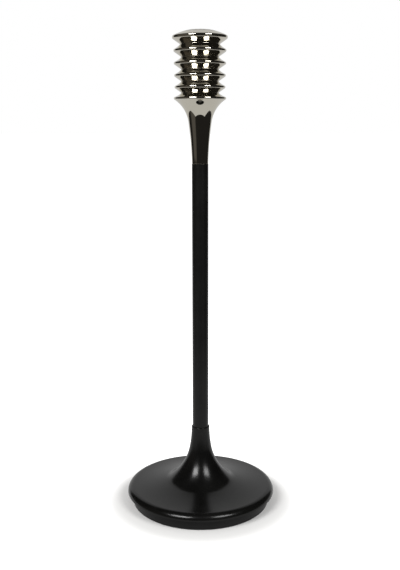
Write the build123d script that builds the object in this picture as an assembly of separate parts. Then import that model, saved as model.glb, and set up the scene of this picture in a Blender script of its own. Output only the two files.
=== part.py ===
"""Tall candlestick: a polished ribbed head on a black tube and a black trumpet base.

Millimetres, +Z up. The origin is where the axis meets the floor, under the felt.
Everything is turned about Z. One tie rod clamps base, tube and neck together, the
barrel and the cap screw onto the neck, and the candle cup drops in from above.
"""

import os
from math import cos, radians, sin, sqrt, tan

from build123d import *

# Foot and floor
PAD_THICKNESS = 2.0
PAD_SETBACK = 1.6  # felt inside the foot ring
FOOT_SETBACK = 6.9  # foot ring inside the shell's rim
FOOT_LIFT = 0.8  # the felt stands this much proud of the foot ring
SHELL_SEAT_HEIGHT = 14.5  # underside of the shell's rim above the floor
FOOT_RING_WALL = 4.0
FOOT_RING_LEDGE = 3.5
FOOT_RING_REGISTER = 2.0
FOOT_EDGE_ROUND = 0.8

# Trumpet base, from the rim inwards and up
BASE_DIAMETER = 189.0
BASE_HEIGHT = 100.5
RIM_ROUND = 8.5
DISC_SLOPE = 2.0  # where the disc meets the rim
DISH_ANGLE = 76.0  # from the vertical, where the disc's long hollow begins
FLARE_FOOT_RADIUS = 20.0
FLARE_FOOT_ANGLE = 52.5  # from the vertical, where the small radius ends
FLARE_WAIST_ANGLE = 10.7
FLARE_NECK_RADIUS = 153.0
COLLAR_TAPER = 2.0
COLLAR_LENGTH = 4.9  # straight stretch under the mouth
COLLAR_WALL = 1.3
COLLAR_EDGE_ROUND = 0.4
SHELL_WALL = 3.5
SOCKET_DEPTH = 36.0
SOCKET_FLOOR = 12.0

# Cast weight in the base
WEIGHT_FLANGE = 4.0
WEIGHT_TOP_GAP = 0.6
BOSS_DIAMETER = 40.0
BOSS_RISE = 10.0
NUT_RECESS_DIAMETER = 24.0
NUT_RECESS_DEPTH = 12.0

# Stem
STEM_DIAMETER = 20.0
STEM_WALL = 1.5
STEM_SHOWING = 334.0  # tube seen between the collar and the neck

# Tie rod and its fasteners, M8
ROD_DIAMETER = 8.0
ROD_CHAMFER = 0.8
ROD_HOLE_CLEARANCE = 0.25
ROD_PAST_HEAD_NUT = 3.0
ROD_ABOVE_FELT = 1.0
NUT_ACROSS_FLATS = 13.0
NUT_HEIGHT = 6.5
NUT_CHAMFER_ANGLE = 30.0
WASHER_DIAMETER = 16.0
WASHER_THICKNESS = 1.6
SPRING_WASHER_DIAMETER = 14.8
SPRING_WASHER_THICKNESS = 2.0
SPRING_WASHER_SLIT = 1.5

# Neck, from the tube up to its rim
NECK_FOOT_STEP = 0.1  # neck smaller than the tube, on the radius
NECK_HEIGHT = 77.58
NECK_RIM_DIAMETER = 62.3
NECK_RIM_ANGLE = 58.0  # lean of the neck from the vertical, just under its rim
NECK_FLARE_RADIUS = 37.5
NECK_WAIST_ANGLE = 8.0  # lean where the flare runs into the long waist
NECK_PLUG_DEPTH = 20.0
NECK_FLOOR_HEIGHT = 48.0  # floor under the head nut, above the tube's end
NECK_POCKET_DIAMETER = 18.4
NECK_BOWL_DIAMETER = 30.0
NECK_BOWL_DEPTH = 14.0

# Ribs, counted from the top; each pitch and rib is a little smaller than the last
RIB_COUNT = 4
RIB_DIAMETER = 62.4
RIB_DIAMETER_STEP = 0.7
RIB_PITCH = 15.06
RIB_PITCH_STEP = 0.535
RIB_EDGE = 2.25
RIB_EDGE_ROUND = 1.4
RIB_FACE_RADIUS = 24.0  # hollow of each rib's upper face
RIB_UNDERSIDE_SLOPE = 34.5
GROOVE_DIAMETER = 44.2
TOP_GROOVE_DIAMETER = 46.8
GROOVE_ROUND = 0.35
BARREL_WALL = 3.4  # at the groove bottoms
SPIGOT_LENGTH = 8.0
SPIGOT_WALL = 2.0

# Domed cap
CAP_DIAMETER = 65.5
CAP_EDGE = 3.0
CAP_EDGE_ROUND = 1.5
DOME_RADIUS = 72.0
CAP_WEB = 7.0

# Candle cup
CUP_BORE = 23.0
CUP_DEPTH = 26.0
CUP_WALL = 0.8
CUP_FLANGE_WIDTH = 1.7
CUP_FLANGE_THICKNESS = 1.0
CUP_MOUTH_ROUND = 0.6

# Fits, each on the radius
SOCKET_CLEARANCE = 0.05
SPIGOT_CLEARANCE = 0.05
REGISTER_CLEARANCE = 0.1
THREAD_CLEARANCE = 0.05
CUP_CLEARANCE = 0.08

# Radii worked out from the sizes above
rod_radius = ROD_DIAMETER / 2
rod_hole = rod_radius + ROD_HOLE_CLEARANCE
stem_outer = STEM_DIAMETER / 2
stem_bore = stem_outer - STEM_WALL
collar_outer = stem_outer + COLLAR_WALL
foot_outer = BASE_DIAMETER / 2 - FOOT_SETBACK
foot_inner = foot_outer - FOOT_RING_WALL
foot_ledge = foot_inner - FOOT_RING_LEDGE
barrel_bore = GROOVE_DIAMETER / 2 - BARREL_WALL
spigot_radius = barrel_bore - SPIGOT_CLEARANCE
cup_outer = CUP_BORE / 2 + CUP_WALL
cup_flange = cup_outer + CUP_FLANGE_WIDTH
cap_recess = cup_flange + CUP_CLEARANCE
head_clear = CAP_DIAMETER  # wider than anything in the head, for cutting bands


def dome_height(radius):
    """Height of the cap's dome above the centre of its sphere."""
    return sqrt(DOME_RADIUS**2 - radius**2)


# Levels worked out from the sizes above
weight_ledge = PAD_THICKNESS + WEIGHT_FLANGE
weight_top = SHELL_SEAT_HEIGHT - WEIGHT_TOP_GAP
recess_top = PAD_THICKNESS + NUT_RECESS_DEPTH
stem_bottom = BASE_HEIGHT - SOCKET_DEPTH
socket_underside = stem_bottom - SOCKET_FLOOR
stem_top = BASE_HEIGHT + STEM_SHOWING
neck_floor = stem_top + NECK_FLOOR_HEIGHT
neck_rim = stem_top + NECK_HEIGHT
pitches = [RIB_PITCH - RIB_PITCH_STEP * i for i in range(RIB_COUNT + 1)]
cap_edge = neck_rim + sum(pitches)
cap_top = cap_edge + CAP_EDGE / 2 + dome_height(cap_recess) - dome_height(CAP_DIAMETER / 2)
cup_seat = cap_top - CUP_FLANGE_THICKNESS


def ridges():
    """(radius, height, thickness) of the cap's edge, each rib and the neck's rim, from the top."""
    found = [(CAP_DIAMETER / 2, cap_edge, CAP_EDGE)]
    for i in range(RIB_COUNT):
        radius = (RIB_DIAMETER - RIB_DIAMETER_STEP * i) / 2
        found.append((radius, cap_edge - sum(pitches[: i + 1]), RIB_EDGE))
    found.append((NECK_RIM_DIAMETER / 2, neck_rim, RIB_EDGE))
    return found


def groove_bottoms():
    """(radius, height) where each straight underside meets the next hollow face, from the top."""
    found = []
    for i, (radius, height, edge) in enumerate(ridges()[:-1]):
        bottom = (TOP_GROOVE_DIAMETER if i == 0 else GROOVE_DIAMETER) / 2
        drop = (radius - bottom) * tan(radians(RIB_UNDERSIDE_SLOPE))
        found.append((bottom, height - edge / 2 - drop))
    return found


barrel_top = groove_bottoms()[0][1]
barrel_bottom = groove_bottoms()[-1][1]


def turned(outline):
    """Solid of revolution about Z of a face drawn as (radius, height)."""
    return revolve(Plane.XZ * outline, Axis.Z)


def band(inner, outer, low, high):
    """Rectangle of a turned outline between two radii and two heights."""
    corners = [(inner, low), (outer, low), (outer, high), (inner, high)]
    return make_face(Polyline(*corners, close=True))


def ring(inner, outer, low, high):
    """Plain turned ring."""
    return turned(band(inner, outer, low, high))


def rounded(outline, places, radius):
    """Rounds the corners of an outline that lie at the given (radius, height) places."""
    near = [
        v
        for v in outline.vertices()
        if any(abs(v.X - r) < 0.01 and abs(v.Y - z) < 0.01 for r, z in places)
    ]
    return fillet(near, radius)


def heading(angle):
    """Direction that leans out from straight down by an angle."""
    return (sin(radians(angle)), -cos(radians(angle)))


def arc_run(radius, start, end):
    """How far out and down an arc goes while its heading turns from start to end."""
    across = radius * (cos(radians(start)) - cos(radians(end)))
    down = radius * (sin(radians(end)) - sin(radians(start)))
    return across, down


def trumpet_closure():
    """Radii of the waist's arc and the disc's long hollow that bring the outline to the rim."""
    neck = arc_run(FLARE_NECK_RADIUS, COLLAR_TAPER, FLARE_WAIST_ANGLE)
    waist = arc_run(1, FLARE_WAIST_ANGLE, FLARE_FOOT_ANGLE)
    foot = arc_run(FLARE_FOOT_RADIUS, FLARE_FOOT_ANGLE, DISH_ANGLE)
    dish = arc_run(1, DISH_ANGLE, 90 - DISC_SLOPE)
    rim = arc_run(RIM_ROUND, 90 - DISC_SLOPE, 0)
    collar = [COLLAR_LENGTH * abs(part) for part in heading(COLLAR_TAPER)]
    across = BASE_DIAMETER / 2 - collar_outer - collar[0] - neck[0] - foot[0] - abs(rim[0])
    down = BASE_HEIGHT - SHELL_SEAT_HEIGHT - collar[1] - neck[1] - foot[1] - abs(rim[1])
    spread = waist[1] * dish[0] - waist[0] * dish[1]
    waist_radius = (down * dish[0] - across * dish[1]) / spread
    dish_radius = (across * waist[1] - down * waist[0]) / spread
    return waist_radius, dish_radius


def trumpet(depth):
    """Outline of the trumpet at a depth under its surface, filled in to the axis."""
    waist_radius, dish_radius = trumpet_closure()
    out = heading(COLLAR_TAPER)
    start = Vector(collar_outer + depth * out[1], BASE_HEIGHT - depth * out[0])
    path = [Line(start, start + Vector(*out) * COLLAR_LENGTH)]
    turns = [COLLAR_TAPER, FLARE_WAIST_ANGLE, FLARE_FOOT_ANGLE, DISH_ANGLE, 90 - DISC_SLOPE]
    radii = [FLARE_NECK_RADIUS, waist_radius, FLARE_FOOT_RADIUS, dish_radius]
    for radius, before, after in zip(radii, turns, turns[1:]):
        path.append(JernArc(path[-1] @ 1, heading(before), radius + depth, after - before))
    level = heading(90 - DISC_SLOPE)
    path.append(JernArc(path[-1] @ 1, level, RIM_ROUND - depth, DISC_SLOPE - 90))
    rim = path[-1] @ 1
    path.append(Polyline(rim, (0, rim.Y), (0, start.Y), start))
    return make_face(Curve() + path)


def base_shell():
    """Cast trumpet with the tube's socket in its collar, hollow underneath."""
    shell_bore = foot_inner + REGISTER_CLEARANCE
    mouth = stem_outer + SOCKET_CLEARANCE
    hollow = trumpet(SHELL_WALL) & band(0, shell_bore, SHELL_SEAT_HEIGHT, socket_underside)
    outline = trumpet(0) - hollow
    outline -= band(0, mouth, stem_bottom, BASE_HEIGHT)
    outline -= band(0, rod_hole, socket_underside, stem_bottom)
    outline = rounded(outline, [(collar_outer, BASE_HEIGHT)], COLLAR_EDGE_ROUND)
    return turned(outline)


def foot_ring():
    """Plinth ring under the shell's rim, held up by the weight's flange."""
    register_top = SHELL_SEAT_HEIGHT + FOOT_RING_REGISTER
    outline = band(foot_ledge, foot_outer, FOOT_LIFT, SHELL_SEAT_HEIGHT)
    outline += band(foot_ledge, foot_inner, SHELL_SEAT_HEIGHT, register_top)
    outline -= band(foot_ledge, foot_inner, FOOT_LIFT, weight_ledge)
    return turned(rounded(outline, [(foot_outer, FOOT_LIFT)], FOOT_EDGE_ROUND))


def base_weight():
    """Cast disc that fills the foot, with a boss and a recess for the bottom nut."""
    flange = foot_inner - REGISTER_CLEARANCE
    body = foot_ledge - REGISTER_CLEARANCE
    outline = band(rod_hole, flange, PAD_THICKNESS, weight_ledge)
    outline += band(rod_hole, body, weight_ledge, weight_top)
    outline += band(rod_hole, BOSS_DIAMETER / 2, weight_top, recess_top + BOSS_RISE)
    outline -= band(rod_hole, NUT_RECESS_DIAMETER / 2, PAD_THICKNESS, recess_top)
    return turned(outline)


def felt_pad():
    """Felt disc glued under the weight, over the nut."""
    return ring(0, foot_inner - PAD_SETBACK, 0, PAD_THICKNESS)


def stem_tube():
    """Black tube from the socket's floor to the foot of the neck."""
    return ring(stem_bore, stem_outer, stem_bottom, stem_top)


def tie_rod():
    """Threaded rod from above the felt to just past the head nut."""
    low = PAD_THICKNESS + ROD_ABOVE_FELT
    high = neck_floor + WASHER_THICKNESS + NUT_HEIGHT + ROD_PAST_HEAD_NUT
    rod = ring(0, rod_radius, low, high)
    return chamfer(rod.edges().filter_by(GeomType.CIRCLE), ROD_CHAMFER)


def hex_nut(seat):
    """Hexagon nut above a seat height, its corners turned off at both ends."""
    flat = NUT_ACROSS_FLATS / 2
    corner = NUT_ACROSS_FLATS / sqrt(3)
    cut = (corner - flat) * tan(radians(NUT_CHAMFER_ANGLE))
    blank = extrude(Pos(0, 0, seat) * RegularPolygon(corner, 6), NUT_HEIGHT)
    turned_blank = band(rod_radius + THREAD_CLEARANCE, corner, seat, seat + NUT_HEIGHT)
    turned_blank = chamfer(turned_blank.vertices().group_by(Axis.X)[-1], corner - flat, cut)
    return blank & turned(turned_blank)


def flat_washer(seat):
    """Plain washer above a seat height."""
    return ring(rod_hole, WASHER_DIAMETER / 2, seat, seat + WASHER_THICKNESS)


def spring_washer(seat):
    """Split washer, pressed flat, above a seat height."""
    outer = SPRING_WASHER_DIAMETER / 2
    whole = ring(rod_hole, outer, seat, seat + SPRING_WASHER_THICKNESS)
    slit = Box(outer, SPRING_WASHER_SLIT, SPRING_WASHER_THICKNESS, align=(Align.MIN, Align.CENTER, Align.MIN))
    return whole - Pos(0, 0, seat) * slit


def neck_edges():
    """Flare under the neck's rim, then the long waist down to the end of the tube."""
    corner = (NECK_RIM_DIAMETER / 2, neck_rim - RIB_EDGE / 2)
    inward = (-sin(radians(NECK_RIM_ANGLE)), -cos(radians(NECK_RIM_ANGLE)))
    flare = JernArc(corner, inward, NECK_FLARE_RADIUS, NECK_RIM_ANGLE - NECK_WAIST_ANGLE)
    waist = TangentArc(flare @ 1, (stem_outer - NECK_FOOT_STEP, stem_top), tangent=flare % 1)
    return [flare, waist]


def head_outline():
    """Outline of cap, barrel and neck together, filled in to the axis."""
    edge_places = ridges()
    bottoms = groove_bottoms()
    tips = [((r, z + edge / 2), (r, z - edge / 2)) for r, z, edge in edge_places]
    path = [Line((0, cap_top), (cap_recess, cap_top))]
    path.append(RadiusArc((cap_recess, cap_top), tips[0][0], DOME_RADIUS))
    for (above, below), bottom, (next_above, _) in zip(tips, bottoms, tips[1:]):
        path.append(Line(above, below))
        path.append(Line(below, bottom))
        path.append(RadiusArc(bottom, next_above, -RIB_FACE_RADIUS))
    path.append(Line(*tips[-1]))
    path += neck_edges()
    path.append(Polyline(path[-1] @ 1, (0, stem_top), (0, cap_top)))
    outline = make_face(Curve() + path)
    outline = rounded(outline, tips[0], CAP_EDGE_ROUND)
    outline = rounded(outline, [place for tip in tips[1:] for place in tip], RIB_EDGE_ROUND)
    return rounded(outline, bottoms, GROOVE_ROUND)


def neck_flare(outline):
    """Neck with a plug into the tube, a floor under the head nut and the barrel's spigot."""
    bowl = NECK_BOWL_DIAMETER / 2
    bowl_floor = barrel_bottom - NECK_BOWL_DEPTH
    spigot_top = barrel_bottom + SPIGOT_LENGTH
    plug = stem_bore - SOCKET_CLEARANCE
    neck = outline & band(0, head_clear, stem_top, barrel_bottom)
    neck += band(0, spigot_radius, barrel_bottom, spigot_top)
    neck += band(0, plug, stem_top - NECK_PLUG_DEPTH, stem_top)
    neck -= band(0, bowl, bowl_floor, spigot_top)
    neck -= band(0, NECK_POCKET_DIAMETER / 2, neck_floor, bowl_floor)
    neck -= band(0, rod_hole, stem_top - NECK_PLUG_DEPTH, neck_floor)
    return turned(neck)


def ribbed_barrel(outline):
    """Sleeve with the ribs, bored right through."""
    barrel = outline & band(barrel_bore, head_clear, barrel_bottom, barrel_top)
    return turned(barrel)


def top_cap(outline):
    """Domed cap, hollow underneath, with the seat of the candle cup in its middle."""
    spigot_bottom = barrel_top - SPIGOT_LENGTH
    cap = outline & band(0, head_clear, barrel_top, cap_top)
    cap += band(0, spigot_radius, spigot_bottom, barrel_top)
    cap -= band(0, spigot_radius - SPIGOT_WALL, spigot_bottom, cap_top - CAP_WEB)
    cap -= band(0, cup_outer + CUP_CLEARANCE, cap_top - CAP_WEB, cup_seat)
    cap -= band(0, cap_recess, cup_seat, cap_top)
    return turned(cap)


def candle_cup():
    """Drawn cup that hangs from its flange and lifts out."""
    bore = CUP_BORE / 2
    floor = cap_top - CUP_DEPTH
    outline = band(0, cup_outer, floor - CUP_WALL, cap_top) + band(0, cup_flange, cup_seat, cap_top)
    outline -= band(0, bore, floor, cap_top)
    return turned(rounded(outline, [(bore, cap_top)], CUP_MOUTH_ROUND))


def all_parts():
    """Every piece by its name."""
    outline = head_outline()
    head_washer = neck_floor
    base_washer = recess_top - WASHER_THICKNESS
    base_spring = base_washer - SPRING_WASHER_THICKNESS
    return {
        "felt_pad": felt_pad(),
        "base_nut": hex_nut(base_spring - NUT_HEIGHT),
        "base_spring_washer": spring_washer(base_spring),
        "base_washer": flat_washer(base_washer),
        "base_weight": base_weight(),
        "foot_ring": foot_ring(),
        "base_shell": base_shell(),
        "stem_tube": stem_tube(),
        "tie_rod": tie_rod(),
        "neck_flare": neck_flare(outline),
        "head_washer": flat_washer(head_washer),
        "head_nut": hex_nut(head_washer + WASHER_THICKNESS),
        "ribbed_barrel": ribbed_barrel(outline),
        "top_cap": top_cap(outline),
        "candle_cup": candle_cup(),
    }


os.makedirs("parts", exist_ok=True)
for name, piece in all_parts().items():
    export_step(piece, f"parts/{name}.step")
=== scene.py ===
"""Looks of the tall candlestick: polished nickel head, satin black tube and trumpet base.

Sizes of the candlestick are in millimetres, as in the CAD source, and become metres when a mesh
is made. Camera, stage and lamps are in metres and degrees. Every turned piece is an outline of
(radius, height) points that Geometry Nodes spin about Z.
"""

from math import acos, atan2, ceil, cos, degrees, dist, pi, radians, sin, sqrt, tan

import bmesh
import bpy
from mathutils import Euler, Matrix, Vector


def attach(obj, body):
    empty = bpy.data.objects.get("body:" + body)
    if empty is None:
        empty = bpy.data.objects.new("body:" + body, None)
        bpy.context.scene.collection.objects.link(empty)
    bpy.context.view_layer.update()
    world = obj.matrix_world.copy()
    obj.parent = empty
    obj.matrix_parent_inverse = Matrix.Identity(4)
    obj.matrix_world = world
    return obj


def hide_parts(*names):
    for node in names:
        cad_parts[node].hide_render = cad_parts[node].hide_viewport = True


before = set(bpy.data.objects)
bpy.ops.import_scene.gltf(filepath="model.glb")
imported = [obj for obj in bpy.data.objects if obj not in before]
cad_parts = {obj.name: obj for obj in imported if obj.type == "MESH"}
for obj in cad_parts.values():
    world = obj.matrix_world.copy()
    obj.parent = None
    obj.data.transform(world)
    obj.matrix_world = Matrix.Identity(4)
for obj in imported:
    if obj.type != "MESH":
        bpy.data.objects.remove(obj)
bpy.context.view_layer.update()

MM = 0.001

# Camera, fitted to the photograph
PHOTO_LONG_SIDE = 570
FOCAL_PIXELS = 822
FILM_SIDE = 36
CAMERA_DISTANCE = 1.0036
CAMERA_HEIGHT = 0.4856
CAMERA_PITCH = 11.29
CAMERA_SIDESTEP = -0.0004
CAMERA_ROLL = -0.1

# Outline sampling
LINE_STEP = 0.9
ARC_STEP = 4.0
ROUND_STEP = 12.0
ROUND_PARTS = 4  # at least, in a rounded corner
CUT_SLACK = 1.001  # a point this close beyond a cut becomes its end
EDGE_STEP = 0.3
UNDERSIDE_STEP = 0.5
CHAMFER_STEP = 0.2
TUBE_STEP = 12
FELT_STEP = 4
FELT_EDGE_STEP = 0.4

# Foot and base
PAD_THICKNESS = 2.0
PAD_SETBACK = 1.6
PAD_EDGE_ROUND = 0.5
BASE_DIAMETER = 189.0
BASE_HEIGHT = 100.5
SHELL_SEAT_HEIGHT = 14.5
FOOT_SETBACK = 6.9
FOOT_LIFT = 0.8
FOOT_RING_WALL = 4.0
FOOT_RING_LEDGE = 3.5
FOOT_RING_REGISTER = 2.0
FOOT_EDGE_ROUND = 0.8
WEIGHT_LEDGE = 6.0
RIM_ROUND = 8.5
DISC_SLOPE = 2.0
DISH_ANGLE = 76.0
FLARE_FOOT_RADIUS = 20.0
FLARE_FOOT_ANGLE = 52.5
FLARE_WAIST_ANGLE = 10.7
FLARE_NECK_RADIUS = 153.0
COLLAR_TAPER = 2.0
COLLAR_LENGTH = 4.9
COLLAR_WALL = 1.3
COLLAR_EDGE_ROUND = 0.4
COLLAR_MOUTH_CHAMFER = 0.45
SHELL_WALL = 3.5
SOCKET_DEPTH = 36.0
SOCKET_FLOOR = 12.0
SOCKET_CLEARANCE = 0.05
REGISTER_CLEARANCE = 0.1
ROD_HOLE_RADIUS = 4.25

# Stem
STEM_RADIUS = 10.0
STEM_WALL = 1.5
STEM_SHOWING = 334.0

# Neck
NECK_FOOT_STEP = 0.1
NECK_HEIGHT = 77.58
NECK_RIM_RADIUS = 31.15
NECK_RIM_ANGLE = 58.0
NECK_FLARE_RADIUS = 37.5
NECK_WAIST_ANGLE = 8.0
NECK_FOOT_CHAMFER = 0.4
NECK_FOOT_ROUND = 0.15
NECK_PLUG_DEPTH = 20.0
NECK_FLOOR_HEIGHT = 48.0
NECK_POCKET_RADIUS = 9.2
NECK_BOWL_RADIUS = 15.0
NECK_BOWL_DEPTH = 14.0

# Ribs
RIB_COUNT = 4
RIB_RADIUS = 31.2
RIB_RADIUS_STEP = 0.35
RIB_PITCH = 15.06
RIB_PITCH_STEP = 0.535
RIB_EDGE = 2.25
RIB_EDGE_ROUND = 1.4
RIB_FACE_RADIUS = 24.0
RIB_UNDERSIDE_SLOPE = 34.5
GROOVE_RADIUS = 22.1
TOP_GROOVE_RADIUS = 23.4
GROOVE_ROUND = 0.35
BARREL_BORE = 18.7
SPIGOT_RADIUS = 18.65
SPIGOT_WALL = 2.0
SPIGOT_LENGTH = 8.0

# Cap and cup
CAP_RADIUS = 32.75
CAP_EDGE = 3.0
CAP_EDGE_ROUND = 1.5
DOME_RADIUS = 72.0
CAP_WEB = 7.0
CUP_BORE = 11.5
CUP_DEPTH = 26.0
CUP_WALL = 0.8
CUP_FLANGE = 14.0
CUP_FLANGE_THICKNESS = 1.0
CUP_MOUTH_ROUND = 0.6
CUP_LIP_ROUND = 0.25
CUP_FLOOR_ROUND = 1.2
CUP_CLEARANCE = 0.08

# Spinning
CREASE_ANGLE = 32
MERGE_DISTANCE = 2e-6  # metres
HEAD_DIVISIONS = 256
NECK_DIVISIONS = 224
CUP_DIVISIONS = 160
TUBE_DIVISIONS = 128
BASE_DIVISIONS = 288
FOOT_DIVISIONS = 256
FELT_DIVISIONS = 192

# Finishes. Noises are (scale, detail, stretch), and bumps are (strength, depth in metres)
CLOUD_RANGE = (0.35, 0.7)
PATCH_RANGE = (0.3, 0.7)
NICKEL_COLOUR = (0.67, 0.635, 0.545)
NICKEL_SHADE = (0.63, 0.595, 0.51)
# painted shade colour for the head's groove bottoms
NICKEL_GROOVE_SHADE = (0.30, 0.27, 0.22)
NICKEL_ROUGHNESS = 0.05
NICKEL_CLOUD = (45, 3)
NICKEL_WAVE = (70, 2)
NICKEL_WAVE_BUMP = (0.05, 0.0004)
SMEAR = (120, 4, (1, 1, 0.4))
SMEAR_RANGE = (0.45, 0.72)
SMEAR_ROUGHNESS = 0.05
LATHE_SCALE = 2600
LATHE_DETAIL = 2.0
LATHE_BUMP = (0.035, 0.00002)
# Painted shade in the groove bottoms: its noise, patch levels, reach outwards from the bottom, and the
# duller gloss added there
GROOVE_SHADE_NOISE = (260, 3)
GROOVE_SHADE_PATCHES = (0.35, 1)
GROOVE_SHADE_FULL = 0.2  # millimetres outwards from the groove's bottom
GROOVE_SHADE_REACH = 1.7
GROOVE_SHADE_ROUGHNESS = 0.26
TUBE_COLOUR = (0.0028, 0.0028, 0.0026)
TUBE_ROUGHNESS = 0.33
TUBE_SHEEN_LEVEL = 0.3
TUBE_GRAIN = 700
BASE_COLOUR = (0.0022, 0.0022, 0.0020)
BASE_ROUGHNESS = 0.21
BASE_SHEEN_LEVEL = 0.28
BASE_GRAIN = 500
BASE_DUST = 0.05
FOOT_COLOUR = (0.0028, 0.0028, 0.0027)
FOOT_ROUGHNESS = 0.45
FOOT_SHEEN_LEVEL = 0.24
FOOT_GRAIN = 900
PAINT_CLOUD = (30, 4)
PAINT_SHADE_GAIN = 1.5
PAINT_SHADE_LIFT = 0.001
PAINT_VARY = (65, 3)
PAINT_VARY_ROUGHNESS = (-0.02, 0.03)
SCUFF = (900, 2, (1, 1, 0.05))
SCUFF_RANGE = (0.66, 0.8)
SCUFF_ROUGHNESS = 0.06
DUST_COLOUR = (0.05, 0.048, 0.044)
DUST = (2200, 2)
DUST_RANGE = (0.7, 0.8)
PEEL_BUMP = (0.14, 0.00003)
FINE_GRAIN = 4  # times finer than the orange peel
FINE_BUMP = (0.06, 0.00001)
FELT_DARK = (0.010, 0.010, 0.010)
FELT_PALE = (0.032, 0.031, 0.029)
FELT_ROUGHNESS = 0.95
FELT_GLOSS_LEVEL = 0.1
FELT_FUZZ = 0.3
FIBRES = (3200, 4, (1, 0.35, 1))
FIBRE_RANGE = (0.3, 0.75)
FIBRE_BUMP = (0.8, 0.0003)
FELT_LUMPS = (700, 3)
FELT_LUMP_BUMP = (0.4, 0.0004)
IRON_DARK = (0.035, 0.034, 0.033)
IRON_PALE = (0.085, 0.078, 0.070)
IRON_METALLIC = 0.7
IRON_CLOUD = (90, 4)
IRON_SPOTS = (400, 3)
IRON_ROUGHNESS = (0.55, 0.8)
IRON_SAND = (900, 4)
IRON_SAND_BUMP = (0.7, 0.0002)
IRON_WAVE = (140, 3)
IRON_WAVE_BUMP = (0.4, 0.0006)
ZINC_PALE = (0.50, 0.50, 0.47)
ZINC_DARK = (0.38, 0.39, 0.38)
ZINC_CLOUD = (150, 3)
ZINC_SPOTS = (500, 3)
ZINC_ROUGHNESS = (0.28, 0.45)
ZINC_GRAIN = (1800, 2)
ZINC_BUMP = (0.2, 0.00003)

# Stage
FLOOR_SIZE = 30.0
FLOOR_COLOUR = (0.74, 0.735, 0.725)
FLOOR_CAMERA_LIFT = 0.06
# Painted shadow on the floor: the glow to the camera is held back inside the inner radius and rises to full
# at the outer, in metres from the axis
PAINTED_SHADOW_INNER = 0.103
PAINTED_SHADOW_OUTER = 0.15
GLOW_BEYOND_PAINTED_SHADOW = 0.8
TABLE_LEVEL = 0.65
TABLE_FRONT = 0.55
TABLE_SIDE = 0.55
TABLE_EDGE = 0.01
ROOM_COLOUR = (0.018, 0.017, 0.016)
SIDE_WALL_COLOUR = (0.095, 0.085, 0.075)
BACKDROP_HALF_ANGLE = 40
BACKDROP_TOP = 52
BACKDROP_SOFTNESS = 6
BACKDROP_LEVEL = 0.66
BACKDROP_LEAN = 0.08  # brighter to the left
BACKDROP_SIDE_SOFTNESS = 3
SIDE_WALL_START = 52
SIDE_WALL_END = 104
SIDE_WALL_START_SOFTNESS = 6
SIDE_WALL_END_SOFTNESS = 8
SIDE_WALL_FADE = (15, 35)  # rise in degrees over which the wall goes dark
SIDE_SHEET_LEVEL = 0.1
SIDE_SHEET_TINT = (1, 0.93, 0.85)
SIDE_SHEET_START = (42, 54)  # degrees to the left, over which the sheet fades in
SIDE_SHEET_END = (84, 100)
SIDE_SHEET_FAR = (4.0, 5.0)  # metres over which it fades out
AMBIENT = 0.45
LEFT_POWER = 25.0
RIGHT_POWER = 16.5
LEFT_AZIMUTH = -34
RIGHT_AZIMUTH = 38
LEFT_WIDTH = 0.78
RIGHT_WIDTH = 0.70
SOFTBOX_TALL = 0.54
SOFTBOX_DISTANCE = 1.5
SOFTBOX_HEIGHT = 1.35
SOFTBOX_AIM_HEIGHT = 0.2

# Levels worked out from the sizes above
stem_bottom = BASE_HEIGHT - SOCKET_DEPTH
stem_top = BASE_HEIGHT + STEM_SHOWING
neck_rim = stem_top + NECK_HEIGHT
pitches = [RIB_PITCH - RIB_PITCH_STEP * i for i in range(RIB_COUNT + 1)]
cap_edge = neck_rim + sum(pitches)
cap_recess = CUP_FLANGE + CUP_CLEARANCE
dome_rise = sqrt(DOME_RADIUS**2 - cap_recess**2) - sqrt(DOME_RADIUS**2 - CAP_RADIUS**2)
cap_top = cap_edge + CAP_EDGE / 2 + dome_rise
cup_seat = cap_top - CUP_FLANGE_THICKNESS
foot_outer = BASE_DIAMETER / 2 - FOOT_SETBACK
foot_inner = foot_outer - FOOT_RING_WALL


def toward(lean):
    """Direction that leans out from straight down by an angle in degrees."""
    return sin(radians(lean)), -cos(radians(lean))


def along(start, way, distance):
    """Point at a distance from a start."""
    return start[0] + way[0] * distance, start[1] + way[1] * distance


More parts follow.
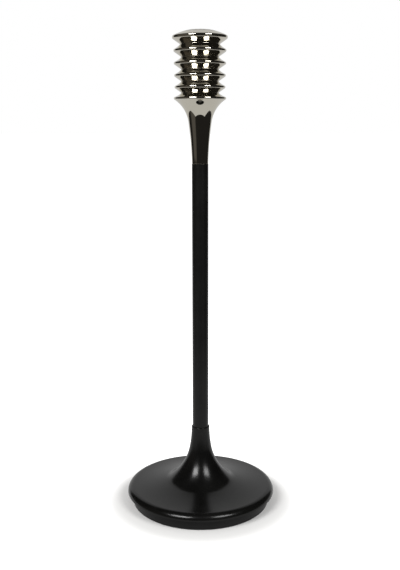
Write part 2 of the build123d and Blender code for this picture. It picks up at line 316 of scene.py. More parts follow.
class Outline:
    """Outline of a turned piece, drawn in runs whose shared corners can be rounded."""

    def __init__(self, radius, height):
        self.runs = []
        self.rounds = []
        self.end = (radius, height)

    def _add(self, points, rounding):
        self.runs.append([self.end] + points)
        self.rounds.append(rounding)
        self.end = points[-1]

    def line(self, radius, height, rounding=0.0, step=LINE_STEP):
        """Straight run, with the corner at its start rounded."""
        a, b = self.end, (radius, height)
        n = max(1, ceil(dist(a, b) / step))
        steps = [(a[0] + (b[0] - a[0]) * i / n, a[1] + (b[1] - a[1]) * i / n) for i in range(1, n + 1)]
        self._add(steps, rounding)

    def bend(self, lean, turn, radius, rounding=0.0):
        """Arc that starts along a lean and turns by an angle, both in degrees; outwards is positive."""
        side = 1 if turn > 0 else -1
        centre = along(self.end, (cos(radians(lean)), sin(radians(lean))), side * radius)
        n = max(2, ceil(abs(turn) / ARC_STEP), ceil(radians(abs(turn)) * radius / LINE_STEP))
        leans = [radians(lean + turn * i / n) for i in range(1, n + 1)]
        self._add([along(centre, (cos(a), sin(a)), -side * radius) for a in leans], rounding)

    def bend_to(self, lean, radius, height, rounding=0.0):
        """Arc that starts along a lean and ends at a point."""
        a, b = self.end, (radius, height)
        chord = degrees(atan2(b[0] - a[0], a[1] - b[1]))
        turn = 2 * (chord - lean)
        self.bend(lean, turn, dist(a, b) / 2 / sin(radians(abs(turn) / 2)), rounding)

    def bow(self, radius, height, arc, rounding=0.0):
        """Arc of a given radius to a point, hollow where arc is positive and full where it is negative."""
        a, b = self.end, (radius, height)
        chord = degrees(atan2(b[0] - a[0], a[1] - b[1]))
        half = degrees(atan2(dist(a, b) / 2, sqrt(arc**2 - (dist(a, b) / 2) ** 2)))
        side = 1 if arc > 0 else -1
        self.bend(chord - side * half, side * 2 * half, abs(arc), rounding)

    def points(self):
        """All the points, with the corners rounded."""
        found = list(self.runs[0])
        for run, rounding in zip(self.runs[1:], self.rounds[1:]):
            if rounding:
                found, run = softened(found, run, rounding)
                found += run
            else:
                found += run[1:]
        return found


def unit(a, b):
    """Direction from one point to another."""
    return (b[0] - a[0]) / dist(a, b), (b[1] - a[1]) / dist(a, b)


def cut_back(run, length):
    """Run with a length cut off its end."""
    run = list(run)
    while len(run) > 2 and dist(run[-2], run[-1]) <= length * CUT_SLACK:
        length = max(0, length - dist(run[-2], run[-1]))
        run.pop()
    return run[:-1] + [along(run[-1], unit(run[-1], run[-2]), length)]


def softened(before, after, radius):
    """Two runs that share a corner, cut back, with the second now starting on an arc between them."""
    way_in, way_out = unit(before[-2], before[-1]), unit(after[0], after[1])
    turn = acos(min(1, way_in[0] * way_out[0] + way_in[1] * way_out[1]))
    before = cut_back(before, radius * tan(turn / 2))
    after = cut_back(after[::-1], radius * tan(turn / 2))[::-1]
    # Handles of a Bezier curve that stays close to the arc
    handle = 4 / 3 * tan(turn / 4) * radius
    a, d = before[-1], after[0]
    b = along(a, unit(before[-2], a), handle)
    c = along(d, unit(after[1], d), handle)
    curve = []
    n = max(ROUND_PARTS, ceil(degrees(turn) / ROUND_STEP))
    for i in range(1, n):
        t = i / n
        weights = ((1 - t) ** 3, 3 * t * (1 - t) ** 2, 3 * t * t * (1 - t), t**3)
        pulls = list(zip(weights, (a, b, c, d)))
        curve.append(tuple(sum(w * q[axis] for w, q in pulls) for axis in (0, 1)))
    return before, curve + after


def portion(points, high, low):
    """Part of a falling outline between two heights, cut exactly there."""
    found = []
    for a, b in zip(points, points[1:]):
        if a[1] <= high and a[1] >= low:
            found.append(a)
        for level in (high, low):
            if a[1] > level > b[1]:
                t = (a[1] - level) / (a[1] - b[1])
                found.append((a[0] + (b[0] - a[0]) * t, level))
    if points[-1][1] >= low:
        found.append(points[-1])
    return found


def closed(points, *more):
    """Closes a section: the outline, then plain corners, back to the outline's first point."""
    return list(points) + [tuple(p) for p in more] + [points[0]]


def trumpet_closure():
    """Radii of the waist's arc and the disc's long hollow that bring the outline to the rim."""

    def run(radius, start, end):
        a, b = radians(start), radians(end)
        return abs(radius * (cos(a) - cos(b))), abs(radius * (sin(b) - sin(a)))

    neck = run(FLARE_NECK_RADIUS, COLLAR_TAPER, FLARE_WAIST_ANGLE)
    waist = run(1, FLARE_WAIST_ANGLE, FLARE_FOOT_ANGLE)
    foot = run(FLARE_FOOT_RADIUS, FLARE_FOOT_ANGLE, DISH_ANGLE)
    dish = run(1, DISH_ANGLE, 90 - DISC_SLOPE)
    rim = run(RIM_ROUND, 90 - DISC_SLOPE, 0)
    collar = [COLLAR_LENGTH * abs(part) for part in toward(COLLAR_TAPER)]
    across = BASE_DIAMETER / 2 - STEM_RADIUS - COLLAR_WALL - collar[0] - neck[0] - foot[0] - rim[0]
    down = BASE_HEIGHT - SHELL_SEAT_HEIGHT - collar[1] - neck[1] - foot[1] - rim[1]
    spread = waist[1] * dish[0] - waist[0] * dish[1]
    return (down * dish[0] - across * dish[1]) / spread, (across * waist[1] - down * waist[0]) / spread


def trumpet(depth):
    """Outline of the trumpet's surface, or of a surface at a depth under it."""
    waist_radius, dish_radius = trumpet_closure()
    inward = -cos(radians(COLLAR_TAPER)), -sin(radians(COLLAR_TAPER))
    start = along((STEM_RADIUS + COLLAR_WALL, BASE_HEIGHT), inward, depth)
    path = Outline(*start)
    path.line(*along(start, toward(COLLAR_TAPER), COLLAR_LENGTH))
    leans = [COLLAR_TAPER, FLARE_WAIST_ANGLE, FLARE_FOOT_ANGLE, DISH_ANGLE, 90 - DISC_SLOPE]
    radii = [FLARE_NECK_RADIUS, waist_radius, FLARE_FOOT_RADIUS, dish_radius]
    for radius, before, after in zip(radii, leans, leans[1:]):
        path.bend(before, after - before, radius + depth)
    path.bend(90 - DISC_SLOPE, DISC_SLOPE - 90, RIM_ROUND - depth)
    return path


def base_section():
    """Section of the trumpet base, hollow underneath, with the tube's socket."""
    skin = trumpet(0).points()
    mouth = STEM_RADIUS + SOCKET_CLEARANCE
    lip = Outline(mouth, BASE_HEIGHT - COLLAR_MOUTH_CHAMFER)
    lip.line(mouth + COLLAR_MOUTH_CHAMFER, BASE_HEIGHT)
    lip.line(*skin[0])
    lip.runs.append(skin)
    lip.rounds.append(COLLAR_EDGE_ROUND)
    shell_bore = foot_inner + REGISTER_CLEARANCE
    socket_underside = stem_bottom - SOCKET_FLOOR
    hollow = [p for p in trumpet(SHELL_WALL).points() if p[0] < shell_bore and p[1] < socket_underside][::-1]
    return closed(
        lip.points(),
        (shell_bore, SHELL_SEAT_HEIGHT),
        (shell_bore, hollow[0][1]),
        *hollow,
        (hollow[-1][0], socket_underside),
        (ROD_HOLE_RADIUS, socket_underside),
        (ROD_HOLE_RADIUS, stem_bottom),
        (mouth, stem_bottom),
    )


def foot_section():
    """Section of the plinth ring, from its inner top edge round the outside."""
    ledge = foot_inner - FOOT_RING_LEDGE
    path = Outline(foot_inner, SHELL_SEAT_HEIGHT)
    path.line(foot_outer, SHELL_SEAT_HEIGHT)
    path.line(foot_outer, FOOT_LIFT)
    path.line(foot_inner, FOOT_LIFT, FOOT_EDGE_ROUND)
    return closed(
        path.points(),
        (foot_inner, WEIGHT_LEDGE),
        (ledge, WEIGHT_LEDGE),
        (ledge, SHELL_SEAT_HEIGHT + FOOT_RING_REGISTER),
        (foot_inner, SHELL_SEAT_HEIGHT + FOOT_RING_REGISTER),
    )


def felt_section():
    """Section of the felt disc."""
    radius = foot_inner - PAD_SETBACK
    path = Outline(0, PAD_THICKNESS)
    path.line(radius, PAD_THICKNESS, step=FELT_STEP)
    path.line(radius, 0, PAD_EDGE_ROUND, step=FELT_EDGE_STEP)
    path.line(0, 0, PAD_EDGE_ROUND, step=FELT_STEP)
    return path.points()


def tube_section():
    """Section of the tube."""
    path = Outline(STEM_RADIUS, stem_top)
    path.line(STEM_RADIUS, stem_bottom, step=TUBE_STEP)
    bore = STEM_RADIUS - STEM_WALL
    return closed(path.points(), (bore, stem_bottom), (bore, stem_top))


def ridges():
    """(radius, height, edge) of the cap's edge, each rib and the neck's rim, from the top."""
    found = [(CAP_RADIUS, cap_edge, CAP_EDGE)]
    for i in range(RIB_COUNT):
        found.append((RIB_RADIUS - RIB_RADIUS_STEP * i, cap_edge - sum(pitches[: i + 1]), RIB_EDGE))
    return found + [(NECK_RIM_RADIUS, neck_rim, RIB_EDGE)]


def groove_bottoms():
    """(radius, height) of each groove's bottom, from the top."""
    found = []
    for i, (radius, height, edge) in enumerate(ridges()[:-1]):
        bottom = GROOVE_RADIUS if i else TOP_GROOVE_RADIUS
        found.append((bottom, height - edge / 2 - (radius - bottom) * tan(radians(RIB_UNDERSIDE_SLOPE))))
    return found


def head_outline():
    """Outline of cap, barrel and neck together, from the cup's recess down to the tube."""
    edges, bottoms = ridges(), groove_bottoms()
    path = Outline(cap_recess, cap_top)
    radius, height, edge = edges[0]
    path.bow(radius, height + edge / 2, -DOME_RADIUS)
    path.line(radius, height - edge / 2, CAP_EDGE_ROUND, step=EDGE_STEP)
    for k, bottom in enumerate(bottoms):
        path.line(*bottom, RIB_EDGE_ROUND if k else CAP_EDGE_ROUND, step=UNDERSIDE_STEP)
        radius, height, edge = edges[k + 1]
        path.bow(radius, height + edge / 2, RIB_FACE_RADIUS, GROOVE_ROUND)
        path.line(radius, height - edge / 2, RIB_EDGE_ROUND, step=EDGE_STEP)
    path.bend(-NECK_RIM_ANGLE, NECK_RIM_ANGLE - NECK_WAIST_ANGLE, NECK_FLARE_RADIUS, RIB_EDGE_ROUND)
    path.bend_to(-NECK_WAIST_ANGLE, STEM_RADIUS - NECK_FOOT_STEP, stem_top + NECK_FOOT_CHAMFER)
    path.line(STEM_RADIUS - NECK_FOOT_STEP - NECK_FOOT_CHAMFER, stem_top, NECK_FOOT_ROUND, step=CHAMFER_STEP)
    return path.points()


def cap_section(head):
    """Section of the domed cap, with the seat of the candle cup."""
    seam = groove_bottoms()[0][1]
    hole = CUP_BORE + CUP_WALL + CUP_CLEARANCE
    return closed(
        portion(head, cap_top, seam),
        (SPIGOT_RADIUS, seam),
        (SPIGOT_RADIUS, seam - SPIGOT_LENGTH),
        (SPIGOT_RADIUS - SPIGOT_WALL, seam - SPIGOT_LENGTH),
        (SPIGOT_RADIUS - SPIGOT_WALL, cap_top - CAP_WEB),
        (hole, cap_top - CAP_WEB),
        (hole, cup_seat),
        (cap_recess, cup_seat),
    )


def barrel_section(head):
    """Section of the ribbed sleeve."""
    high, low = groove_bottoms()[0][1], groove_bottoms()[-1][1]
    return closed(portion(head, high, low), (BARREL_BORE, low), (BARREL_BORE, high))


def neck_section(head):
    """Section of the flared neck, from the barrel's spigot down to the plug in the tube."""
    seam = groove_bottoms()[-1][1]
    bowl_floor = seam - NECK_BOWL_DEPTH
    floor = stem_top + NECK_FLOOR_HEIGHT
    plug, foot = STEM_RADIUS - STEM_WALL - SOCKET_CLEARANCE, stem_top - NECK_PLUG_DEPTH
    return closed(
        portion(head, seam, stem_top),
        (plug, stem_top),
        (plug, foot),
        (ROD_HOLE_RADIUS, foot),
        (ROD_HOLE_RADIUS, floor),
        (NECK_POCKET_RADIUS, floor),
        (NECK_POCKET_RADIUS, bowl_floor),
        (NECK_BOWL_RADIUS, bowl_floor),
        (NECK_BOWL_RADIUS, seam + SPIGOT_LENGTH),
        (SPIGOT_RADIUS, seam + SPIGOT_LENGTH),
        (SPIGOT_RADIUS, seam),
    )


def cup_section():
    """Section of the drawn cup, from the middle of its floor up the bore and round the flange."""
    floor, outer = cap_top - CUP_DEPTH, CUP_BORE + CUP_WALL
    path = Outline(0, floor)
    path.line(CUP_BORE, floor)
    path.line(CUP_BORE, cap_top, CUP_FLOOR_ROUND)
    path.line(CUP_FLANGE, cap_top, CUP_MOUTH_ROUND)
    path.line(CUP_FLANGE, cup_seat, CUP_LIP_ROUND, step=EDGE_STEP)
    path.line(outer, cup_seat)
    path.line(outer, floor - CUP_WALL)
    path.line(0, floor - CUP_WALL, CUP_FLOOR_ROUND)
    return path.points()[::-1]


class Nodes:
    """Short way to add nodes to a tree and link them."""

    def __init__(self, tree):
        self.tree = tree

    def add(self, kind, inputs=None, **settings):
        """Adds a node; inputs are values or sockets, by name or number."""
        node = self.tree.nodes.new(kind)
        for name, value in settings.items():
            setattr(node, name, value)
        for key, value in (inputs or {}).items():
            socket = node.inputs[key]
            if isinstance(value, bpy.types.NodeSocket):
                self.tree.links.new(value, socket)
            else:
                socket.default_value = value
        return node

    def math(self, operation, *values):
        """Result of a Math node in a geometry or shader tree."""
        return self.add("ShaderNodeMath", dict(enumerate(values)), operation=operation).outputs[0]

    def step(self, value, low, high):
        """Smooth rise from 0 to 1 between two values."""
        inputs = {"Value": value, "From Min": low, "From Max": high}
        return self.add("ShaderNodeMapRange", inputs, interpolation_type="SMOOTHSTEP").outputs[0]

    def mix(self, factor, first, second):
        """Colour between two colours."""
        node = self.add("ShaderNodeMix", {"Factor": factor}, data_type="RGBA")
        for socket, value in ((node.inputs[6], first), (node.inputs[7], second)):
            if isinstance(value, bpy.types.NodeSocket):
                self.tree.links.new(value, socket)
            else:
                socket.default_value = (*value, 1)
        return node.outputs[2]


def spinning_tree():
    """Tree that spins a profile of (radius, 0, height) points, in their order, about Z."""
    tree = bpy.data.node_groups.new("spun piece", "GeometryNodeTree")
    sockets = [
        ("Profile", "INPUT", "NodeSocketGeometry"),
        ("Divisions", "INPUT", "NodeSocketInt"),
        ("Crease angle", "INPUT", "NodeSocketFloat"),
        ("Finish", "INPUT", "NodeSocketMaterial"),
        ("Piece", "OUTPUT", "NodeSocketGeometry"),
    ]
    for name, way, kind in sockets:
        tree.interface.new_socket(name, in_out=way, socket_type=kind)
    nodes = Nodes(tree)
    given = nodes.add("NodeGroupInput").outputs
    size = nodes.add("GeometryNodeAttributeDomainSize", {"Geometry": given["Profile"]})
    count = size.outputs["Point Count"]
    rows = nodes.math("ADD", given["Divisions"], 1)
    unit_square = {"Size X": 1.0, "Size Y": 1.0, "Vertices X": count, "Vertices Y": rows}
    grid = nodes.add("GeometryNodeMeshGrid", unit_square)
    where = nodes.add("GeometryNodeInputPosition").outputs[0]
    place = nodes.add("ShaderNodeSeparateXYZ", {0: where}).outputs
    half_side = 0.5
    along_profile = nodes.math("ADD", place["X"], half_side)
    round_axis = nodes.math("ADD", place["Y"], half_side)
    step = nodes.math("MULTIPLY", along_profile, nodes.math("SUBTRACT", count, 1))
    nearest = nodes.math("ROUND", step)
    angle = nodes.math("MULTIPLY", round_axis, 2 * pi)
    sample = nodes.add(
        "GeometryNodeSampleIndex",
        {
            "Geometry": given["Profile"],
            "Value": where,
            "Index": nearest,
        },
        data_type="FLOAT_VECTOR",
        clamp=True,
    )
    drawn = nodes.add("ShaderNodeSeparateXYZ", {0: sample.outputs[0]}).outputs
    turned = nodes.add(
        "ShaderNodeCombineXYZ",
        {
            "X": nodes.math("MULTIPLY", drawn["X"], nodes.math("COSINE", angle)),
            "Y": nodes.math("MULTIPLY", drawn["X"], nodes.math("SINE", angle)),
            "Z": drawn["Z"],
        },
    )

    def then(kind, before, inputs, **settings):
        return nodes.add(kind, {"Geometry": before.outputs[0], **inputs}, **settings)

    placed = then("GeometryNodeSetPosition", grid, {"Position": turned.outputs[0]})
    merged = then("GeometryNodeMergeByDistance", placed, {"Distance": MERGE_DISTANCE})
    smooth = then("GeometryNodeSetShadeSmooth", merged, {"Shade Smooth": True}, domain="FACE")
    bent = nodes.add("GeometryNodeInputMeshEdgeAngle").outputs["Unsigned Angle"]
    limit = {0: bent, 1: given["Crease angle"]}
    sharp = nodes.add("FunctionNodeCompare", limit, operation="GREATER_THAN").outputs[0]
    kept_sharp = {"Selection": sharp, "Shade Smooth": False}
    creased = then("GeometryNodeSetShadeSmooth", smooth, kept_sharp, domain="EDGE")
    real = then("GeometryNodeRealizeInstances", creased, {})
    finished = then("GeometryNodeSetMaterial", real, {"Material": given["Finish"]})
    nodes.add("NodeGroupOutput", {"Piece": finished.outputs[0]})
    return tree


def set_inputs(modifier, **values):
    """Sets a Geometry Nodes modifier's inputs by their sockets' identifiers."""
    for item in modifier.node_group.interface.items_tree:
        key = item.name.lower().replace(" ", "_")
        if item.in_out == "INPUT" and key in values:
            modifier[item.identifier] = values[key]


def spun(name, section, finish, divisions):
    """Plain mesh object spun from a section in millimetres."""
    mesh = bpy.data.meshes.new(name)
    mesh.from_pydata([(r * MM, 0, z * MM) for r, z in section], [], [])
    draft = bpy.data.objects.new(name + "_outline", mesh)
    bpy.context.scene.collection.objects.link(draft)
    modifier = draft.modifiers.new("spin", "NODES")
    modifier.node_group = spinning
    set_inputs(modifier, divisions=divisions, crease_angle=radians(CREASE_ANGLE), finish=finish)
    evaluated = draft.evaluated_get(bpy.context.evaluated_depsgraph_get())
    made = bpy.data.meshes.new_from_object(evaluated)
    made.name = name
    bpy.data.objects.remove(draft)
    bpy.data.meshes.remove(mesh)
    work = bmesh.new()
    work.from_mesh(made)
    bmesh.ops.recalc_face_normals(work, faces=work.faces)
    work.to_mesh(made)
    work.free()
    piece = bpy.data.objects.new(name, made)
    bpy.context.scene.collection.objects.link(piece)
    return piece


class Finish(Nodes):
    """Material with a Principled shader, and short ways to add what its surface shows."""

    def __init__(self, name, **values):
        self.material = bpy.data.materials.new(name)
        self.material.use_nodes = True
        super().__init__(self.material.node_tree)
        self.shader = self.tree.nodes["Principled BSDF"]
        for key, value in values.items():
            self.shader.inputs[key.title()].default_value = value
        self.object = self.add("ShaderNodeTexCoord").outputs["Object"]

    def noise(self, scale, detail=2.0, stretch=(1, 1, 1)):
        """Noise in object coordinates, stretched along an axis where a factor is small."""
        where = self.add("ShaderNodeMapping", {"Vector": self.object, "Scale": stretch}).outputs[0]
        inputs = {"Vector": where, "Scale": scale, "Detail": detail}
        return self.add("ShaderNodeTexNoise", inputs).outputs[0]

    def ramp(self, value, low, high, out_low=0.0, out_high=1.0):
        """Maps a range of a value to another range, clamped."""
        inputs = {"Value": value, "From Min": low, "From Max": high}
        inputs |= {"To Min": out_low, "To Max": out_high}
        return self.add("ShaderNodeMapRange", inputs).outputs[0]

    def around(self):
        """Radius and height on the piece, in metres."""
        parts = self.add("ShaderNodeSeparateXYZ", {0: self.object}).outputs
        squares = self.math("ADD", self.math("POWER", parts["X"], 2), self.math("POWER", parts["Y"], 2))
        return self.math("SQRT", squares), parts["Z"]

    def bump(self, *layers):
        """Bump from (value, strength, depth in metres) layers, each on top of the last."""
        normal = None
        for value, strength, depth in layers:
            inputs = {"Strength": strength, "Distance": depth, "Height": value}
            if normal:
                inputs["Normal"] = normal
            normal = self.add("ShaderNodeBump", inputs).outputs[0]
        self.link(normal, "Normal")

    def link(self, value, name):
        """Links a value to the shader."""
        self.tree.links.new(value, self.shader.inputs[name])


def polished_nickel(name, shaded_groove_radius=None):
    """Polished nickel with faint lathe marks and smears; given a groove radius, painted shade and duller
    gloss near the groove bottoms.
    """
    f = Finish(name, metallic=1.0)
    radius, height = f.around()
    colour = f.mix(f.ramp(f.noise(*NICKEL_CLOUD), *CLOUD_RANGE), NICKEL_COLOUR, NICKEL_SHADE)
    smear = f.ramp(f.noise(*SMEAR), *SMEAR_RANGE)
    rough = f.ramp(smear, 0, 1, NICKEL_ROUGHNESS, NICKEL_ROUGHNESS + SMEAR_ROUGHNESS)
    # Painted shade: darker colour, in patches, near each groove's bottom, with the gloss dulled there too
    if shaded_groove_radius:
        full, clear = (shaded_groove_radius + GROOVE_SHADE_FULL) * MM, (shaded_groove_radius + GROOVE_SHADE_REACH) * MM
        patches = f.ramp(f.noise(*GROOVE_SHADE_NOISE), *PATCH_RANGE, *GROOVE_SHADE_PATCHES)
        groove_shade = f.math("MULTIPLY", f.ramp(radius, clear, full), patches)
        colour = f.mix(groove_shade, colour, NICKEL_GROOVE_SHADE)
        rough = f.math("ADD", rough, f.math("MULTIPLY", groove_shade, GROOVE_SHADE_ROUGHNESS))
    f.link(colour, "Base Color")
    f.link(rough, "Roughness")
    marks = f.add("ShaderNodeCombineXYZ", {"X": radius, "Y": 0.0, "Z": height}).outputs[0]
    turned = {"Vector": marks, "Scale": LATHE_SCALE, "Detail": LATHE_DETAIL}
    lathe = f.add("ShaderNodeTexNoise", turned).outputs[0]
    f.bump((f.noise(*NICKEL_WAVE), *NICKEL_WAVE_BUMP), (lathe, *LATHE_BUMP))
    return f.material


def satin_black(name, colour, roughness, sheen_level, grain, wear=0.0):
    """Satin black paint with a fine orange peel, soft scuffs and, where there is wear, dust."""
    f = Finish(name)
    f.shader.inputs["Specular IOR Level"].default_value = sheen_level
    paler = tuple(c * PAINT_SHADE_GAIN + PAINT_SHADE_LIFT for c in colour)
    shade = f.mix(f.ramp(f.noise(*PAINT_CLOUD), *CLOUD_RANGE), colour, paler)
    scuffs = f.ramp(f.noise(*SCUFF), *SCUFF_RANGE)
    dust = f.ramp(f.noise(*DUST), *DUST_RANGE, 0, wear)
    f.link(f.mix(dust, shade, DUST_COLOUR), "Base Color")
    low, high = (roughness + change for change in PAINT_VARY_ROUGHNESS)
    vary = f.ramp(f.noise(*PAINT_VARY), *PATCH_RANGE, low, high)
    f.link(f.math("ADD", vary, f.math("MULTIPLY", scuffs, SCUFF_ROUGHNESS)), "Roughness")
    f.bump((f.noise(grain), *PEEL_BUMP), (f.noise(grain * FINE_GRAIN), *FINE_BUMP))
    return f.material


def felt():
    """Dark pressed felt."""
    f = Finish("felt", roughness=FELT_ROUGHNESS)
    f.shader.inputs["Specular IOR Level"].default_value = FELT_GLOSS_LEVEL
    f.shader.inputs["Sheen Weight"].default_value = FELT_FUZZ
    fibres = f.noise(*FIBRES)
    f.link(f.mix(f.ramp(fibres, *FIBRE_RANGE), FELT_DARK, FELT_PALE), "Base Color")
    f.bump((fibres, *FIBRE_BUMP), (f.noise(*FELT_LUMPS), *FELT_LUMP_BUMP))
    return f.material


def cast_iron():
    """Sand-cast iron, as it comes from the mould."""
    f = Finish("cast_iron", metallic=IRON_METALLIC)
    f.link(f.mix(f.ramp(f.noise(*IRON_CLOUD), *PATCH_RANGE), IRON_DARK, IRON_PALE), "Base Color")
    f.link(f.ramp(f.noise(*IRON_SPOTS), *PATCH_RANGE, *IRON_ROUGHNESS), "Roughness")
    f.bump((f.noise(*IRON_SAND), *IRON_SAND_BUMP), (f.noise(*IRON_WAVE), *IRON_WAVE_BUMP))
    return f.material


def zinc_steel():
    """Zinc-plated steel of the rod, nuts and washers."""
    f = Finish("zinc_steel", metallic=1.0)
    f.link(f.mix(f.ramp(f.noise(*ZINC_CLOUD), *CLOUD_RANGE), ZINC_PALE, ZINC_DARK), "Base Color")
    f.link(f.ramp(f.noise(*ZINC_SPOTS), *PATCH_RANGE, *ZINC_ROUGHNESS), "Roughness")
    f.bump((f.noise(*ZINC_GRAIN), *ZINC_BUMP))
    return f.material


def add_camera():
    """Camera at the photograph's place."""
    data = bpy.data.cameras.new("photo_camera")
    data.sensor_width = FILM_SIDE
    data.lens = FOCAL_PIXELS * FILM_SIDE / PHOTO_LONG_SIDE
    camera = bpy.data.objects.new("photo_camera", data)
    camera.location = (CAMERA_SIDESTEP, -CAMERA_DISTANCE, CAMERA_HEIGHT)
    level = Euler((radians(90 - CAMERA_PITCH), 0, 0)).to_matrix()
    camera.rotation_euler = (level @ Matrix.Rotation(radians(CAMERA_ROLL), 3, "Z")).to_euler()
    bpy.context.scene.collection.objects.link(camera)
    bpy.context.scene.camera = camera


def add_softbox(name, azimuth, width, power):
    """Soft lamp at an azimuth from the camera's side, aimed at the axis."""
    data = bpy.data.lights.new(name, "AREA")
    data.shape = "RECTANGLE"
    data.size, data.size_y, data.energy = width, SOFTBOX_TALL, power
    lamp = bpy.data.objects.new(name, data)
    a = radians(azimuth)
    lamp.location = (SOFTBOX_DISTANCE * sin(a), -SOFTBOX_DISTANCE * cos(a), SOFTBOX_HEIGHT)
    aim = Vector((0, 0, SOFTBOX_AIM_HEIGHT)) - lamp.location
    lamp.rotation_euler = aim.to_track_quat("-Z", "Y").to_euler()
    bpy.context.scene.collection.objects.link(lamp)


def add_floor():
    """Pale floor, glowing to the camera except near the foot, where the held-back glow paints a shadow on
    top of the lamps' own. In reflections it is a pale table, a dim sheet at the left, and dark elsewhere.
    """
    mesh = bpy.data.meshes.new("floor")
    s = FLOOR_SIZE
    mesh.from_pydata([(-s, -s, 0), (s, -s, 0), (s, s, 0), (-s, s, 0)], [], [(0, 1, 2, 3)])
    floor = bpy.data.objects.new("floor", mesh)
    bpy.context.scene.collection.objects.link(floor)
    material = bpy.data.materials.new("pale_floor")
    material.use_nodes = True
    tree = material.node_tree
    tree.nodes.clear()
    n = Nodes(tree)
    ray = n.add("ShaderNodeLightPath").outputs
    where = n.add("ShaderNodeTexCoord").outputs["Object"]
    place = n.add("ShaderNodeSeparateXYZ", {0: where}).outputs
    matte = n.add("ShaderNodeBsdfDiffuse", {"Color": (*FLOOR_COLOUR, 1)}).outputs[0]
    squares = n.math("ADD", n.math("POWER", place["X"], 2), n.math("POWER", place["Y"], 2))
    away = n.math("SQRT", squares)
    # Painted shadow: the glow to the camera comes in only away from the foot, so the floor near the foot
    # stays darker, on top of the lamps' own shadow
    beyond_painted_shadow = n.step(away, PAINTED_SHADOW_INNER, PAINTED_SHADOW_OUTER)
    lift = n.math("ADD", FLOOR_CAMERA_LIFT, n.math("MULTIPLY", beyond_painted_shadow, GLOW_BEYOND_PAINTED_SHADOW))
    to_camera = n.math("MULTIPLY", lift, ray["Is Camera Ray"])
    glow = n.add("ShaderNodeEmission", {"Strength": to_camera}).outputs[0]
    lit = n.add("ShaderNodeAddShader", {0: matte, 1: glow}).outputs[0]
    front = n.step(place["Y"], -TABLE_FRONT - TABLE_EDGE, -TABLE_FRONT)
    behind = n.math("MULTIPLY", n.math("MAXIMUM", place["Y"], 0), tan(radians(BACKDROP_HALF_ANGLE)))
    side = n.math("SUBTRACT", n.math("ABSOLUTE", place["X"]), behind)
    table = n.math("MULTIPLY", front, n.step(side, TABLE_SIDE + TABLE_EDGE, TABLE_SIDE))
    around = n.math("ARCTAN2", place["X"], n.math("MULTIPLY", place["Y"], -1))
    starts, full = (radians(-angle) for angle in SIDE_SHEET_START)
    fading, ends = (radians(-angle) for angle in SIDE_SHEET_END)
    near, far = SIDE_SHEET_FAR
    left = n.math("MULTIPLY", n.step(around, starts, full), n.step(around, ends, fading))
    left = n.math("MULTIPLY", left, n.step(away, far, near))
    sheet = n.mix(left, ROOM_COLOUR, tuple(SIDE_SHEET_LEVEL * tint for tint in SIDE_SHEET_TINT))
    seen = n.mix(table, sheet, (TABLE_LEVEL, TABLE_LEVEL, TABLE_LEVEL))
    shadowed = n.add("ShaderNodeEmission", {"Color": seen, "Strength": 1.0}).outputs[0]
    mixed = n.add("ShaderNodeMixShader", {0: ray["Is Glossy Ray"], 1: lit, 2: shadowed}).outputs[0]
    n.add("ShaderNodeOutputMaterial", {"Surface": mixed})
    mesh.materials.append(material)


def add_world():
    """White to the camera, soft light for shading, and a studio's backdrop and room in reflections."""
    world = bpy.data.worlds.new("studio")
    bpy.context.scene.world = world
    world.use_nodes = True
    world.node_tree.nodes.clear()
    n = Nodes(world.node_tree)
    ray = n.add("ShaderNodeLightPath").outputs
    where = n.add("ShaderNodeTexCoord").outputs["Generated"]
    way = n.add("ShaderNodeSeparateXYZ", {0: where}).outputs
    azimuth = n.math("ABSOLUTE", n.math("ARCTAN2", way["X"], way["Y"]))
    rise = n.math("ARCSINE", way["Z"])

    def fall(value, middle, softness):
        return n.step(value, radians(middle + softness), radians(middle - softness))

    back = fall(azimuth, BACKDROP_HALF_ANGLE, BACKDROP_SIDE_SOFTNESS)
    top = fall(rise, BACKDROP_TOP, BACKDROP_SOFTNESS)
    from_camera = n.math("ARCTAN2", way["X"], n.math("MULTIPLY", way["Y"], -1))
    starts = fall(from_camera, -SIDE_WALL_START, SIDE_WALL_START_SOFTNESS)
    ends = fall(from_camera, -SIDE_WALL_END, -SIDE_WALL_END_SOFTNESS)
    wall_full, wall_dark = (radians(angle) for angle in SIDE_WALL_FADE)
    left = n.math("MULTIPLY", n.math("MULTIPLY", starts, ends), n.step(rise, wall_dark, wall_full))
    wall = n.mix(left, ROOM_COLOUR, SIDE_WALL_COLOUR)
    level = n.math("SUBTRACT", BACKDROP_LEVEL, n.math("MULTIPLY", way["X"], BACKDROP_LEAN))
    grey = n.add("ShaderNodeCombineXYZ", {"X": level, "Y": level, "Z": level}).outputs[0]
    room = n.mix(n.math("MULTIPLY", back, top), wall, grey)
    shading = n.add("ShaderNodeBackground", {"Color": (1, 1, 1, 1), "Strength": AMBIENT})
    seen_in_gloss = n.add("ShaderNodeBackground", {"Color": room, "Strength": 1.0})
    white = n.add("ShaderNodeBackground", {"Color": (1, 1, 1, 1), "Strength": 1.0})

    def switch(ray_kind, otherwise, shader):
        inputs = {0: ray[ray_kind], 1: otherwise.outputs[0], 2: shader.outputs[0]}
        return n.add("ShaderNodeMixShader", inputs)

    seen = switch("Is Camera Ray", switch("Is Glossy Ray", shading, seen_in_gloss), white)
    n.add("ShaderNodeOutputWorld", {"Surface": seen.outputs[0]})


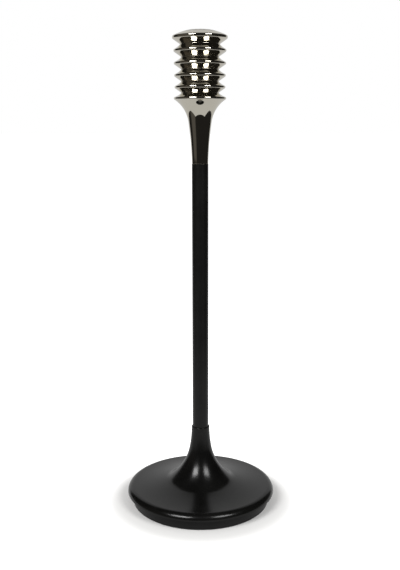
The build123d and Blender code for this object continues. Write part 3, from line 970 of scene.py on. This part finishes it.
add_camera()
add_floor()
add_world()
add_softbox("softbox_left", LEFT_AZIMUTH, LEFT_WIDTH, LEFT_POWER)
add_softbox("softbox_right", RIGHT_AZIMUTH, RIGHT_WIDTH, RIGHT_POWER)
bpy.context.scene.view_settings.view_transform = "Standard"

spinning = spinning_tree()
# The head's nickel has painted shade near the groove bottoms; the plain nickel has none
nickel = polished_nickel("polished_nickel", GROOVE_RADIUS)
nickel_plain = polished_nickel("polished_nickel_plain")
tube_paint = satin_black("satin_black_tube", TUBE_COLOUR, TUBE_ROUGHNESS, TUBE_SHEEN_LEVEL, TUBE_GRAIN)
base_paint = satin_black(
    "satin_black_base", BASE_COLOUR, BASE_ROUGHNESS, BASE_SHEEN_LEVEL, BASE_GRAIN, BASE_DUST
)
foot_paint = satin_black("satin_black_foot", FOOT_COLOUR, FOOT_ROUGHNESS, FOOT_SHEEN_LEVEL, FOOT_GRAIN)
felt_finish = felt()

head = head_outline()
pieces = [
    ("domed_cap", cap_section(head), nickel, HEAD_DIVISIONS, "stand", "nickel", "top_cap"),
    ("ribbed_sleeve", barrel_section(head), nickel, HEAD_DIVISIONS, "stand", "nickel", "ribbed_barrel"),
    ("flared_neck", neck_section(head), nickel_plain, NECK_DIVISIONS, "stand", "nickel", "neck_flare"),
    ("drawn_cup", cup_section(), nickel_plain, CUP_DIVISIONS, "cup", "nickel", "candle_cup"),
    ("black_tube", tube_section(), tube_paint, TUBE_DIVISIONS, "stand", "stem_paint", "stem_tube"),
    ("trumpet_base", base_section(), base_paint, BASE_DIVISIONS, "stand", "base_paint", "base_shell"),
    ("plinth_ring", foot_section(), foot_paint, FOOT_DIVISIONS, "stand", "foot_black", "foot_ring"),
    ("felt_disc", felt_section(), felt_finish, FELT_DIVISIONS, "stand", "felt", "felt_pad"),
]
for name, section, finish, divisions, body, slot, node in pieces:
    piece = spun(name, section, finish, divisions)
    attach(piece, body)
    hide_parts(node)

iron, zinc = cast_iron(), zinc_steel()
inner_finish = {"base_weight": iron}
for node in ("tie_rod", "base_nut", "base_washer", "base_spring_washer", "head_nut", "head_washer"):
    inner_finish[node] = zinc
for node, finish in inner_finish.items():
    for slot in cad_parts[node].material_slots:
        slot.material = finish
